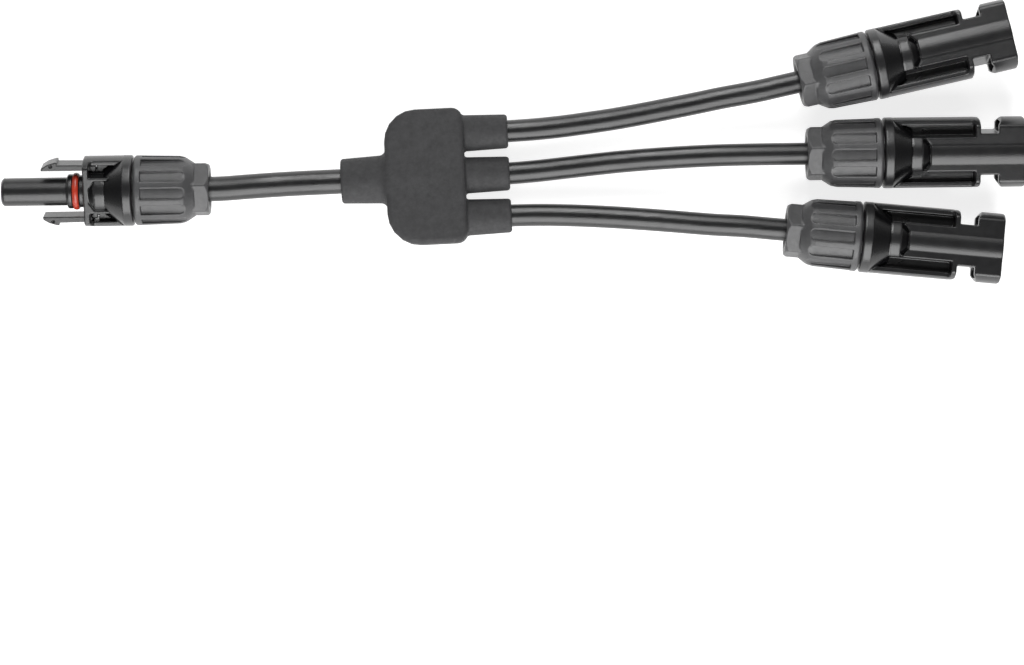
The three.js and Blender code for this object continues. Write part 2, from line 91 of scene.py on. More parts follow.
# ---------------------------------------------------------------- camera
def add_camera():
    """A camera straight above, its view width metres across at the height of the axes."""
    width, lens, sensor = 0.2716, 130, 36
    middle, turn = (20.8, -42.3), -2.75
    data = bpy.data.cameras.new("camera")
    data.lens = lens
    data.sensor_width = sensor
    data.clip_end = 20
    camera = bpy.data.objects.new("camera", data)
    camera.location = (middle[0] * MM, middle[1] * MM, AXIS_Z * MM + width * lens / sensor)
    camera.rotation_euler = (0, 0, math.radians(turn))
    bpy.context.scene.collection.objects.link(camera)
    bpy.context.scene.camera = camera


add_camera()


# ---------------------------------------------------------------- meshes from arrays
def mesh_object(name, points, faces, smooth=True):
    """A mesh object from points in metres and faces that all have as many sides."""
    points = np.asarray(points, np.float32)
    faces = np.asarray(faces, np.int32)
    count, sides = faces.shape
    mesh = bpy.data.meshes.new(name)
    mesh.vertices.add(len(points))
    mesh.vertices.foreach_set("co", points.ravel())
    mesh.loops.add(count * sides)
    mesh.loops.foreach_set("vertex_index", faces.ravel())
    mesh.polygons.add(count)
    mesh.polygons.foreach_set("loop_start", np.arange(0, count * sides, sides, dtype=np.int32))
    mesh.update(calc_edges=True)
    mesh.validate()
    if smooth:
        mesh.shade_smooth()
    return link_object(name, mesh)


def link_object(name, mesh):
    obj = bpy.data.objects.new(name, mesh)
    bpy.context.scene.collection.objects.link(obj)
    return obj


def ring_faces(rings, sides, closed=False):
    """Quads between consecutive rings of points; the last ring joins the first when closed."""
    last = rings if closed else rings - 1
    i = np.arange(last)[:, None]
    j = np.arange(sides)[None, :]
    a, b = i * sides + j, i * sides + (j + 1) % sides
    c, d = (i + 1) % rings * sides + (j + 1) % sides, (i + 1) % rings * sides + j
    return np.stack([a, d, c, b], -1).reshape(-1, 4)


# ---------------------------------------------------------------- leads
# Each lead's way from inside the junction to its gland nut.
TRUNK_ROUTE = [
    (-8.8, 0, 7), (-14, 0, 7), (-19, 0, 7), (-24, 0, 7.05), (-28, 0, 7.4), (-32, -0.02, 7.95),
    (-36, -0.06, 8.6), (-40, -0.13, 9.15), (-44, -0.22, 9.45), (-48.4, -0.34, 9.5),
    (-53.6, -0.49, 9.5),
]
BRANCH_ROUTES = {
    "branch_1": [(8.8, 11.2, 7), (14, 11.2, 7), (19, 11.2, 7), (24, 11.25, 7), (30, 11.4, 7.1),
                 (37, 11.8, 7.4), (44, 12.4, 7.8), (51, 13.1, 8.2), (58, 14, 8.6), (65, 15, 8.95),
                 (72, 16.05, 9.2), (79, 17.15, 9.4)],
    "branch_2": [(8.8, 0, 7), (14, 0, 7), (19, 0, 7), (24, 0.05, 7), (30, 0.3, 7.1),
                 (37, 0.75, 7.4), (44, 1.2, 7.8), (51, 1.6, 8.2), (58, 1.85, 8.6), (65, 2, 8.95),
                 (72, 2.05, 9.2), (79, 2, 9.4)],
    "branch_3": [(8.8, -11.2, 7), (14, -11.2, 7), (19, -11.2, 7), (24, -11.25, 7),
                 (30, -11.45, 7.1), (36.5, -11.85, 7.4), (43, -12.4, 7.8), (49.5, -13.05, 8.2),
                 (56, -13.8, 8.6), (62.5, -14.6, 8.95), (69, -15.45, 9.2), (75.5, -16.28, 9.4)],
}
ROUTES = {"trunk": TRUNK_ROUTE, **BRANCH_ROUTES}
# The last points of a lead's way, along the connector's axis.
TRUNK_RUN = (3, 7, 14, 21)
BRANCH_RUN = (-11, -5, 1, 7, 14, 21)
POINT_SPACING = 1.2
END_RIM, END_DOME = 0.86, 0.14  # the rim and height of a lead's domed ends, as shares of its radius


def spline(points, spacing):
    """Points about spacing apart on a centripetal Catmull-Rom curve through the given ones."""
    points = np.asarray(points, float)
    ends = (2 * points[0] - points[1], 2 * points[-1] - points[-2])
    padded = np.vstack([ends[0], points, ends[1]])
    curve = []
    for p0, p1, p2, p3 in zip(padded, padded[1:], padded[2:], padded[3:]):
        gaps = (p1 - p0, p2 - p1, p3 - p2)
        knots = np.cumsum([0] + [np.linalg.norm(gap) ** 0.5 for gap in gaps])
        steps = max(2, round(np.linalg.norm(p2 - p1) / spacing))
        t = np.linspace(knots[1], knots[2], steps, endpoint=False)[:, None]

        def blend(a, b, i, j):
            return (a * (knots[j] - t) + b * (t - knots[i])) / (knots[j] - knots[i])

        a1, a2, a3 = blend(p0, p1, 0, 1), blend(p1, p2, 1, 2), blend(p2, p3, 2, 3)
        curve.append(blend(blend(a1, a2, 0, 2), blend(a2, a3, 1, 3), 1, 2))
    return np.vstack([*curve, points[-1:]])


def tube(name, path, radius, sides=48):
    """A closed round lead along a path given in metres, with domed ends."""
    tangents = np.gradient(path, axis=0)
    tangents /= np.linalg.norm(tangents, axis=1, keepdims=True)
    side = np.cross((0, 0, 1), tangents)
    side /= np.linalg.norm(side, axis=1, keepdims=True)
    up = np.cross(tangents, side)
    angle = np.linspace(0, 2 * math.pi, sides, endpoint=False)
    cos, sin = np.cos(angle)[None, :, None], np.sin(angle)[None, :, None]
    around = cos * side[:, None] + sin * up[:, None]
    points = path[:, None] + around * radius
    start = path[0] - tangents[0] * radius * END_DOME
    end = path[-1] + tangents[-1] * radius * END_DOME
    first_ring = start + around[0] * radius * END_RIM
    last_ring = end + around[-1] * radius * END_RIM
    points = np.concatenate([first_ring[None], points, last_ring[None]]).reshape(-1, 3)
    rings = len(path) + 2
    faces = ring_faces(rings, sides)
    first, last = len(points), len(points) + 1
    points = np.vstack([points, start, end])
    near = np.arange(0, sides, 2)
    middle, far = (near + 1) % sides, (near + 2) % sides
    head = np.stack([np.full(len(near), first), near, middle, far], -1)
    tail = (rings - 1) * sides
    foot = np.stack([np.full(len(near), last), tail + far, tail + middle, tail + near], -1)
    return mesh_object(name, points, np.vstack([faces, head, foot]))


def add_lead(name):
    axis, _ = PLACES[name]
    run = TRUNK_RUN if name == "trunk" else BRANCH_RUN
    straight = [axis @ Vector((distance * MM, 0, 0)) for distance in run]
    route = [Vector(p) * MM for p in ROUTES[name]] + straight
    path = spline(route, POINT_SPACING * MM)
    radius = SHEATH[name] * MM
    lead = tube(f"{name}_cable", path, radius)
    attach(lead, "splitter")
    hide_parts(f"{name}_cable_sheath")
    return lead


LEADS = [add_lead(name) for name in CONNECTORS]


# ---------------------------------------------------------------- signed distances
def rmax(a, b, radius=0.0):
    """What is inside both shapes, its edge rounded to a radius."""
    if radius <= 0:
        return np.maximum(a, b)
    beyond = np.hypot(np.maximum(a + radius, 0), np.maximum(b + radius, 0))
    return np.minimum(np.maximum(a, b), -radius) + beyond


def rmin(a, b, radius=0.0):
    """What is inside either shape, with a fillet where they meet."""
    return -rmax(-a, -b, radius)


def slab(value, low, high):
    return np.abs(value - (low + high) / 2) - (high - low) / 2


def polygon_distance(points, a, b):
    """Signed distance to a closed polygon, in its plane."""
    nearest = np.full(np.broadcast(a, b).shape, 1e9)
    inside = np.zeros(nearest.shape, bool)
    for (a0, b0), (a1, b1) in zip(points, np.roll(points, -1, axis=0)):
        da, db = a1 - a0, b1 - b0
        share = np.clip(((a - a0) * da + (b - b0) * db) / (da * da + db * db), 0, 1)
        nearest = np.minimum(nearest, (a - a0 - share * da) ** 2 + (b - b0 - share * db) ** 2)
        if db:
            inside ^= ((b0 <= b) != (b1 <= b)) & (a < a0 + (b - b0) * da / db)
    return np.where(inside, -1, 1) * np.sqrt(nearest)


ARC_SHARE = 0.48  # an arc takes no more than this share of the sides it joins


def rounded(corners, steps=6):
    """The points of a polygon, with an arc at each corner (a, b, radius) and none at an (a, b)."""
    outline = []
    for i, corner in enumerate(corners):
        here = np.array(corner[:2], float)
        if len(corner) == 2:
            outline.append(here)
            continue
        before = np.array(corners[i - 1][:2], float) - here
        after = np.array(corners[(i + 1) % len(corners)][:2], float) - here
        lengths = np.linalg.norm(before), np.linalg.norm(after)
        before, after = before / lengths[0], after / lengths[1]
        half = math.acos(float(np.clip(before @ after, -1, 1))) / 2
        reach = min(corner[2] / math.tan(half), ARC_SHARE * lengths[0], ARC_SHARE * lengths[1])
        for t in np.linspace(0, 1, steps):
            a, b, c = (1 - t) ** 2, 2 * t * (1 - t) * math.sin(half), t * t
            outline.append(here + (before * a + after * c) * reach / (a + b + c))
    return np.array(outline)


class Outline:
    """The signed distance to a rounded polygon, kept as a table and read by interpolation."""

    STEP = 0.06

    def __init__(self, corners, margin=4):
        points = rounded(corners)
        self.low = points.min(0) - margin
        self.size = np.ceil((points.max(0) + margin - self.low) / self.STEP).astype(int) + 1
        a, b = (low + np.arange(n) * self.STEP for low, n in zip(self.low, self.size))
        self.table = polygon_distance(points, a[:, None], b[None, :]).astype(np.float32)

    def __call__(self, a, b):
        u = np.clip((a - self.low[0]) / self.STEP, 0, self.size[0] - 1.001)
        v = np.clip((b - self.low[1]) / self.STEP, 0, self.size[1] - 1.001)
        i, j = u.astype(np.int32), v.astype(np.int32)
        u, v = u - i, v - j
        t = self.table
        near = t[i, j] * (1 - u) + t[i + 1, j] * u
        far = t[i, j + 1] * (1 - u) + t[i + 1, j + 1] * u
        return near * (1 - v) + far * v


CORE = -4  # a turned outline's base lies this far below the axis, so that the axis is well inside


def turned(corners):
    """The distance to a solid turned about x, from its profile's corners above the axis."""
    return Outline([(corners[0][0], CORE), *corners, (corners[-1][0], CORE)])


THREAD_PITCH = 1.5


def thread_wave(x, y, z):
    """0 on the crest and 1 at the root of a right-hand thread about x."""
    phase = x / THREAD_PITCH - np.arctan2(z, y) / (2 * math.pi)
    return 0.5 - 0.5 * np.cos(2 * math.pi * phase)


def window(x, low, high, fade=0.6):
    """1 between low and high, falling to 0 outside them."""
    return np.clip((x - low) / fade, 0, 1) * np.clip((high - x) / fade, 0, 1)


# ---------------------------------------------------------------- meshes from distances
CORNERS = np.array([(i, j, k) for i in (0, 1) for j in (0, 1) for k in (0, 1)])
CELL_EDGES = [(a, b) for a in range(8) for b in range(a + 1, 8)
              if abs(CORNERS[a] - CORNERS[b]).sum() == 1]


def net(values, low, cell):
    """Points and quads of a grid's zero surface, with one point in each cell that it crosses."""
    inside = values < 0
    shape = np.array(values.shape) - 1
    count = np.zeros(shape, np.int8)
    for i, j, k in CORNERS:
        count += inside[i:i + shape[0], j:j + shape[1], k:k + shape[2]]
    crossed = (count > 0) & (count < 8)
    index = np.full(shape, -1, np.int32)
    cells = np.argwhere(crossed)
    index[crossed] = np.arange(len(cells))
    at = [values[tuple((cells + corner).T)] for corner in CORNERS]
    total, hits = np.zeros((len(cells), 3)), np.zeros(len(cells))
    for a, b in CELL_EDGES:
        cut = (at[a] < 0) != (at[b] < 0)
        share = at[a][cut] / (at[a][cut] - at[b][cut])
        total[cut] += CORNERS[a] + share[:, None] * (CORNERS[b] - CORNERS[a])
        hits[cut] += 1
    points = np.asarray(low) + (cells + total / hits[:, None]) * cell
    quads = []
    for axis in range(3):
        ahead = np.moveaxis(inside, axis, 0)
        near, far = ahead[:-1, 1:-1, 1:-1], ahead[1:, 1:-1, 1:-1]
        spots = np.argwhere(near != far)
        cell_index = np.moveaxis(index, axis, 0)
        i, j, k = spots[:, 0], spots[:, 1] + 1, spots[:, 2] + 1
        ring = np.stack([cell_index[i, j - 1, k - 1], cell_index[i, j, k - 1], cell_index[i, j, k],
                         cell_index[i, j - 1, k]], -1)
        flip = near[tuple(spots.T)] ^ (axis == 1)
        quads.append(np.where(flip[:, None], ring, ring[:, ::-1]))
    return points, np.vstack(quads)


def pull_onto(points, distance, most):
    """The points moved along the distance's slope onto its zero surface, by no more than most."""
    step, least = 0.03, 0.05
    x, y, z = points.T
    value = distance(x, y, z)
    slope = np.stack([distance(x + step, y, z) - value, distance(x, y + step, z) - value,
                      distance(x, y, z + step) - value], -1) / step
    steepness = np.maximum((slope ** 2).sum(-1), least)
    move = np.clip(value / steepness, -most, most)
    return points - slope * move[:, None]


def evened(points, quads):
    """Each point moved halfway to the middle of its neighbours."""
    starts = quads.ravel()
    ends = np.roll(quads, -1, axis=1).ravel()
    both = np.concatenate([starts, ends]), np.concatenate([ends, starts])
    count = np.bincount(both[0], minlength=len(points))[:, None]
    middle = np.stack([np.bincount(both[0], points[both[1], c], len(points)) for c in range(3)], -1)
    return points + 0.5 * (middle / np.maximum(count, 1) - points)


EVENING_PASSES = 2


def contour(name, distance, box, cell):
    """The mesh object of a distance's zero surface, within a box in millimetres."""
    margin = 2.4 * cell
    low = np.asarray(box[0], float) - margin
    size = np.ceil((np.asarray(box[1], float) + margin - low) / cell).astype(int) + 1
    x, y, z = (np.float32(start) + np.float32(cell) * np.arange(count, dtype=np.float32)
               for start, count in zip(low, size))
    values = distance(x[:, None, None], y[None, :, None], z[None, None, :])
    points, quads = net(np.broadcast_to(values, size), low, cell)
    points = pull_onto(points, distance, cell)
    for _ in range(EVENING_PASSES):
        points = pull_onto(evened(points, quads), distance, cell)
    points = pull_onto(points, distance, cell)
    return mesh_object(name, points * MM, quads)


def box_round_axis(start, end, reach):
    """A box from start to end along x, that reaches as far on every side of the axis."""
    return (start, -reach, -reach), (end, reach, reach)


# ---------------------------------------------------------------- gland nut
NUT_LENGTH, NUT_RADIUS = 19.7, 9.3
NUT_BODY = turned([(3.8, 6.9), (4.0, 7.1, 0.3), (6.4, 8.65, 1.6), (7.8, 9.0, 2),
                   (19.2, NUT_RADIUS, 0.4), (NUT_LENGTH, 8.9, 0.2)])
NUT_BORE = turned([(-2, 7), (-0.1, 5.1), (0.8, 4.2, 0.5), (3.5, 4.2, 0.3), (9.5, 6.2, 0.3),
                   (9.9, 7.7, 0.2), (19.0, 7.7, 0.2), (19.6, 8.1), (22, 8.1)])
NUT_THREAD, NUT_THREAD_DEPTH = (10.5, 19.2), 0.4
HEX_HALF_WIDTH, HEX_LENGTH = 6.5, 6
HEX_NORMALS = ((1, 0), (0.5, 0.866), (0.5, -0.866))
HEX_REAR_RADIUS = 6.55  # the hexagon's corners are cut back to this at the rear face
GROOVES = 12
GROOVE_START, GROOVE_END = 7.6, 17.8
GROOVE_HALF_WIDTH, GROOVE_FLOOR = 1.5, 8.4


def folded_angle(y, z, count):
    """The angle from z, folded into equal sectors and counted from the middle of a sector."""
    sector = 2 * math.pi / count
    return (np.arctan2(y, z) + sector) % sector - sector / 2


def gland_nut(x, y, z):
    rho = np.hypot(y, z)
    flats = [np.abs(y * along + z * up) - HEX_HALF_WIDTH for along, up in HEX_NORMALS]
    head = rmax(rmax(flats[0], flats[1], 0.3), flats[2], 0.3)
    head = rmax(head, slab(x, 0, HEX_LENGTH), 0.2)
    head = rmax(head, (rho - HEX_REAR_RADIUS - x) * 0.707, 0.15)
    across = rho * np.sin(folded_angle(y, z, GROOVES))
    channel = np.where(x < GROOVE_START, np.hypot(across, x - GROOVE_START), np.abs(across))
    channel = rmax(channel - GROOVE_HALF_WIDTH, x - GROOVE_END, 0.2)
    channel = rmax(channel, GROOVE_FLOOR - rho, 0.12)
    shape = rmax(rmin(head, NUT_BODY(x, rho), 0.3), -channel, 0.25)
    thread = NUT_THREAD_DEPTH * thread_wave(x, y, z) * window(x, *NUT_THREAD)
    return rmax(shape, -NUT_BORE(x, rho - thread), 0.15)


# ---------------------------------------------------------------- connector housings
SPIGOT_START, SHELL_LENGTH, PROBE_LENGTH = 11.5, 57.4, 55.1
SPIGOT_THREAD, SPIGOT_THREAD_DEPTH = (12.2, 19.9), 0.45
HOUSING_REACH = 9.5  # no part of a housing is further from its axis
HOUSING_REAR = turned([(SPIGOT_START, 6.8), (12.2, 7.5, 0.2), (19.6, 7.5, 0.2), (19.9, 7.15),
                       (20.2, 7.15), (20.2, 9.4, 0.45), (22.5, 9.4, 0.12), (27.75, 6.2)])
BAND = [(27.3, 6.2), (27.75, 6.5, 0.1), (30.2, 6.5, 0.08), (30.3, 6.3, 0.06)]
DOME_END = 32.45
SHELL_BAND = turned([*BAND, (32.4, 5.2, 0.1), (DOME_END, 4.9)])
PROBE_BAND = turned([*BAND, (31.8, 5.5, 0.1), (31.85, 4.9)])
CHAMBER = turned([(9, 5.8), (22.2, 5.8, 0.3), (22.5, 5.4)])
SHELL_BORE = turned([(21, 3.1), (32.8, 3.1), (32.8, 2.35), (35.1, 2.35), (35.1, 3.8, 0.2),
                     (52.1, 3.8, 0.2), (52.6, 4.75, 0.2), (57.0, 4.75, 0.2), (57.5, 5.2),
                     (60, 5.2)])
# The wings' outline in plan: rail, side notch and head.
SHELL_PLAN = Outline([(21, -2), (21, 12), (43.9, 12), (44.1, 9.45), (45.6, 9.25, 1.4),
                      (45.6, 5.5, 0.35), (50.4, 5.5, 0.4), (50.4, 7.6, 0.4), (51.5, 9.45, 0.3),
                      (51.7, 12), (56.8, 12), (57.0, 9.45), (57.4, 9.0, 0.3), (57.4, -2)])
PROBE_PLAN = Outline([(21, -2), (21, 12), (31.9, 12), (32.1, 9.45), (33.1, 9.3, 1.0), (33.1, -2)])
# The recess round the dome, in plan.
SHELL_RECESS = Outline([(22, -4), (22, 4.8), (30.75, 4.8, 0.3), (32.45, 2.45, 0.3), (32.45, -4)])
PROBE_RECESS = Outline([(22, -4), (22, 4.1), (30.2, 4.1, 0.3), (31.8, 1.95, 0.3), (31.8, -4)])
PROBE_NOSE = turned([(30, 4.25), (34.45, 4.25, 0.1), (34.45, 3.72, 0.1), (36.25, 3.72, 0.1),
                     (36.25, 4.55, 0.12), (37.3, 4.55, 0.2), (37.6, 4.3, 0.15), (37.65, 3.73, 0.1),
                     (54.5, 3.73, 0.5), (PROBE_LENGTH, 3.15, 0.2)])
PROBE_BORE = turned([(21, 3.1), (53.5, 3.1), (53.5, 2.35, 0.1), (54.7, 2.35, 0.1), (55.1, 2.7),
                     (57, 2.7)])
WING_RADIUS, WING_HALF_HEIGHT = 9.35, 5.55
RAIL_HALF_HEIGHT = 3
WEB_HALF_HEIGHT = 0.9  # what is left between a pocket and the one below it
# The inner and outer side of each housing's pockets, and their front end.
SHELL_POCKET, PROBE_POCKET = (4.55, 7.5, 44.3), (4.85, 7.6, 31.6)
BARREL_RADIUS = 6.1
NOTCH, NOTCH_SIDE = (45.6, 50.4), 5.5
LATCH_SLOT, LATCH_SLOT_HALF_HEIGHT, LATCH_SLOT_BACK = (5.7, 8.2), 3.3, 49.9
# The room cut for a latch finger's foot and for its root, each as its range of y and of x.
FINGER_ROOM = (((5.3, 7.65), (29.6, 31.6)), ((6.1, 7.92), (31, 36)))
FINGER_ROOM_HALF_HEIGHT = 3.0


def housing_rear(x, y, z, rho):
    thread = SPIGOT_THREAD_DEPTH * thread_wave(x, y, z) * window(x, *SPIGOT_THREAD)
    return HOUSING_REAR(x, rho + thread)


def pocketed_wings(x, side, tall, rho, plan, recess, pocket):
    """The flattened side wings with their pockets and lower rails, and the pockets themselves."""
    inner, outer, end = pocket
    wings = rmax(rmax(rho - WING_RADIUS, tall - WING_HALF_HEIGHT, 0.4), plan(x, side), 0.25)
    step = rmax(rmax(RAIL_HALF_HEIGHT - tall, x - end, 1.3), inner - side, 0.15)
    deep = rmax(rmax(slab(side, inner, outer), x - end, 0.6), WEB_HALF_HEIGHT - tall, 0.25)
    hollow = rmax(recess(x, side), WEB_HALF_HEIGHT - tall)
    wings = rmax(rmax(rmax(wings, -step, 0.2), -deep, 0.2), -hollow, 0.1)
    return wings, rmin(step, deep)


def shell_housing(x, y, z):
    rho, side, tall = np.hypot(y, z), np.abs(y), np.abs(z)
    wings, _ = pocketed_wings(x, side, tall, rho, SHELL_PLAN, SHELL_RECESS, SHELL_POCKET)
    notch = rmax(NOTCH_SIDE - side, slab(x, *NOTCH), 0.3)
    barrel = rmax(rho - BARREL_RADIUS, slab(x, DOME_END, SHELL_LENGTH), 0.2)
    barrel = rmax(barrel, -notch, 0.2)
    inner, _, end = SHELL_POCKET
    pocket = rmax(rmax(inner - side, x - end), WEB_HALF_HEIGHT - tall)
    middle = rmax(rmin(SHELL_BAND(x, rho), barrel), -pocket, 0.2)
    shape = rmin(rmin(wings, middle, 0.08), housing_rear(x, y, z, rho), 0.1)
    slot = rmax(slab(side, *LATCH_SLOT), tall - LATCH_SLOT_HALF_HEIGHT, 0.5)
    shape = rmax(shape, -rmax(slot, LATCH_SLOT_BACK - x), 0.15)
    return rmax(rmax(shape, -SHELL_BORE(x, rho), 0.15), -CHAMBER(x, rho), 0.15)


def probe_housing(x, y, z):
    rho, side, tall = np.hypot(y, z), np.abs(y), np.abs(z)
    wings, pocket = pocketed_wings(x, side, tall, rho, PROBE_PLAN, PROBE_RECESS, PROBE_POCKET)
    middle = rmax(PROBE_BAND(x, rho), -pocket, 0.2)
    foot, root = (rmax(rmax(slab(side, *across), tall - FINGER_ROOM_HALF_HEIGHT, 0.2),
                       slab(x, *along)) for across, along in FINGER_ROOM)
    wings = rmax(wings, -rmin(foot, root), 0.1)
    shape = rmin(rmin(wings, middle, 0.08), PROBE_NOSE(x, rho), 0.2)
    shape = rmin(shape, housing_rear(x, y, z, rho), 0.1)
    return rmax(rmax(shape, -PROBE_BORE(x, rho), 0.12), -CHAMBER(x, rho), 0.15)


FINGER_OUTLINE = Outline([(29.9, 5.4, 0.2), (31.3, 5.4, 0.2), (31.3, 6.25, 0.3),
                          (44.35, 6.25, 0.15), (44.2, 7.0, 0.3), (42.6, 7.95, 0.8),
                          (40.65, 8.55, 0.4), (40.0, 8.55, 0.12), (40.0, 7.85, 0.15),
                          (31.3, 7.75, 0.2), (31.3, 7.2, 0.2), (29.9, 7.2, 0.2)])
FINGER_HALF_HEIGHT, FOOT_HALF_HEIGHT, FOOT_END = 2.9, 1.2, 31.35
DIMPLE, DIMPLE_RADIUS = (41.7, 7.5, 2.95), 0.42


def latch_finger(sign):
    """The distance to the latch finger on one side of the probe: its foot, arm and barbed tip."""
    def distance(x, y, z):
        outline, tall = FINGER_OUTLINE(x, y * sign), np.abs(z)
        foot = rmax(outline, tall - FOOT_HALF_HEIGHT, 0.2)
        arm = rmax(rmax(outline, tall - FINGER_HALF_HEIGHT, 0.22), FOOT_END - x, 0.1)
        away = (x - DIMPLE[0]) ** 2 + (y * sign - DIMPLE[1]) ** 2 + (tall - DIMPLE[2]) ** 2
        return rmax(rmin(arm, foot), DIMPLE_RADIUS - np.sqrt(away), 0.08)

    return distance


# ---------------------------------------------------------------- clamp cage
CAGE_START, CAGE_END = 5.2, 12.2
CAGE_RADIUS, CAGE_GAP = 5.5, 0.35  # outside, and from the lead to the inside
CAGE_SLOTS, CAGE_SLOT_HALF_WIDTH, CAGE_SLOT_END = 12, 0.35, 9.6


def clamp_cage(radius):
    """The distance to a cage of fingers round a lead of the given radius."""
    inner = radius + CAGE_GAP
    profile = turned([(CAGE_START, inner + 0.5, 0.2), (9, CAGE_RADIUS, 0.3),
                      (CAGE_END, CAGE_RADIUS, 0.2)])

    def distance(x, y, z):
        rho = np.hypot(y, z)
        across = np.abs(rho * np.sin(folded_angle(y, z, CAGE_SLOTS)))
        slot = rmax(across - CAGE_SLOT_HALF_WIDTH, x - CAGE_SLOT_END, 0.3)
        ring = rmax(profile(x, rho), inner - rho, 0.12)
        return rmax(ring, -slot, 0.12)

    return distance


# ---------------------------------------------------------------- junction
JUNCTION_PLAN = Outline([(-10.6, -17.85, 8.4), (10.4, -17.85, 2.9), (10.4, 17.85, 2.9),
                         (-10.6, 17.85, 8.4)])
TRUNK_BOOT = turned([(0, 6.75), (10.6, 6.45), (TRUNK_TIP, 5.92, 0.8)])
BRANCH_BOOT = turned([(0, 5.2), (10.4, 4.85), (BRANCH_TIP, 4.5, 0.8)])
TRUNK_BORE, BRANCH_BORE = 3.35, 3.0  # the radii of the holes for the leads


def junction(x, y, z):
    body = rmax(JUNCTION_PLAN(x, y), slab(z, 0, JUNCTION_HEIGHT), 1.5)
    height = z - LEAD_Z
    trunk_rho = np.hypot(y, height)
    nearest = y - LEAD_PITCH * np.clip(np.round(y / LEAD_PITCH), -1, 1)
    branch_rho = np.hypot(nearest, height)
    shape = rmin(body, TRUNK_BOOT(-x, trunk_rho), 1.6)
    shape = rmin(shape, BRANCH_BOOT(x, branch_rho), 0.7)
    trunk_bore = rmax(trunk_rho - TRUNK_BORE, x + LEAD_START)
    branch_bore = rmax(branch_rho - BRANCH_BORE, LEAD_START - x)
    return rmax(rmax(shape, -trunk_bore, 0.2), -branch_bore, 0.2)


# ---------------------------------------------------------------- turned pieces
def spun(name, x, radius, sides):
    """A closed piece about the x axis; a row of radius is one ring, and may vary round it."""
    angle = np.linspace(0, 2 * math.pi, sides, endpoint=False)
    across, up = radius * np.cos(angle), radius * np.sin(angle)
    rings = np.stack([np.broadcast_to(x[:, None], across.shape), across, up], -1)
    faces = ring_faces(len(x), sides, closed=True)
    return mesh_object(name, rings.reshape(-1, 3) * MM, faces)


def lathe(name, corners):
    """A turned piece from a closed loop of corners (x, radius, rounding)."""
    loop = rounded(corners, 5)
    return spun(name, loop[:, 0], loop[:, 1:], 64)


CRIMP_WALL = 0.75
PIN_BARREL, SOCKET_BARREL = 2.2, 2.55  # the radii of the crimp barrels
PIN_FRONT = [(32.4, 2.0, 0.1), (48.3, 2.0, 0.8), (49.9, 0.9, 0.4), (50, 0.02)]
# The socket's front ends with the recess for the contact band.
SOCKET_FRONT = [(32.6, 2.3), (33.2, 2.85, 0.2), (52.5, 2.85, 0.3), (52.9, 2.5, 0.1),
                (52.6, 2.15, 0.15), (48.5, 2.1), (48.5, 2.6), (42, 2.6), (42, 2.1), (37, 2.1),
                (37, 0.02)]


def contact(name, barrel, front):
    """A turned contact: a crimp barrel, a collar, and the corners of its front."""
    bore = barrel - CRIMP_WALL
    rear = [(22, bore, 0.1), (22, barrel, 0.1), (30, barrel, 0.1), (30.4, 2.0), (31, 2.0),
            (31, 2.7, 0.15), (32.4, 2.7, 0.15)]
    return lathe(name, [*rear, *front, (28.3, 0.02), (28.3, bore)])


def contact_band(name):
    """A thin sleeve whose louvres bulge inwards."""
    start, end, sides, louvres = 42.3, 48.2, 72, 12
    inside, outside, most = 2.3, 2.4, 0.16
    x = np.linspace(start, end, 25)
    angle = np.linspace(0, 2 * math.pi, sides, endpoint=False)
    along = np.sin((x - start) / (end - start) * math.pi)[:, None]
    bulge = along * (0.5 + 0.5 * np.cos(louvres * angle))[None, :]
    radius = np.concatenate([np.full(bulge.shape, outside), (inside - most * bulge)[::-1]])
    return spun(name, np.concatenate([x, x[::-1]]), radius, sides)


def sealing_ring(name):
    """The ring in its groove: round outside, a little flattened on the groove's floor."""
    middle, half_width = 35.35, 0.82
    radius, half_height, floor = 4.35, 0.55, 3.8
    turn = np.linspace(0, -2 * math.pi, 28, endpoint=False)
    rings = np.maximum(radius + half_height * np.sin(turn), floor)
    return spun(name, middle + half_width * np.cos(turn), rings[:, None], 120)


def gland_seal(name, radius):
    """A ribbed rubber sleeve on a lead of the given radius."""
    start, end = 12.5, 19.5
    inside, outside, waist, rib = radius + 0.12, 5.4, 5.05, 5.5
    corners = [(start, inside, 0.2), (start, outside, 0.3)]
    for middle in (14.2, 16.2, 18.0):
        corners += [(middle - 0.4, rib, 0.2), (middle, waist, 0.2), (middle + 0.4, rib, 0.2)]
    return lathe(name, [*corners, (end, outside, 0.3), (end, inside, 0.2)])


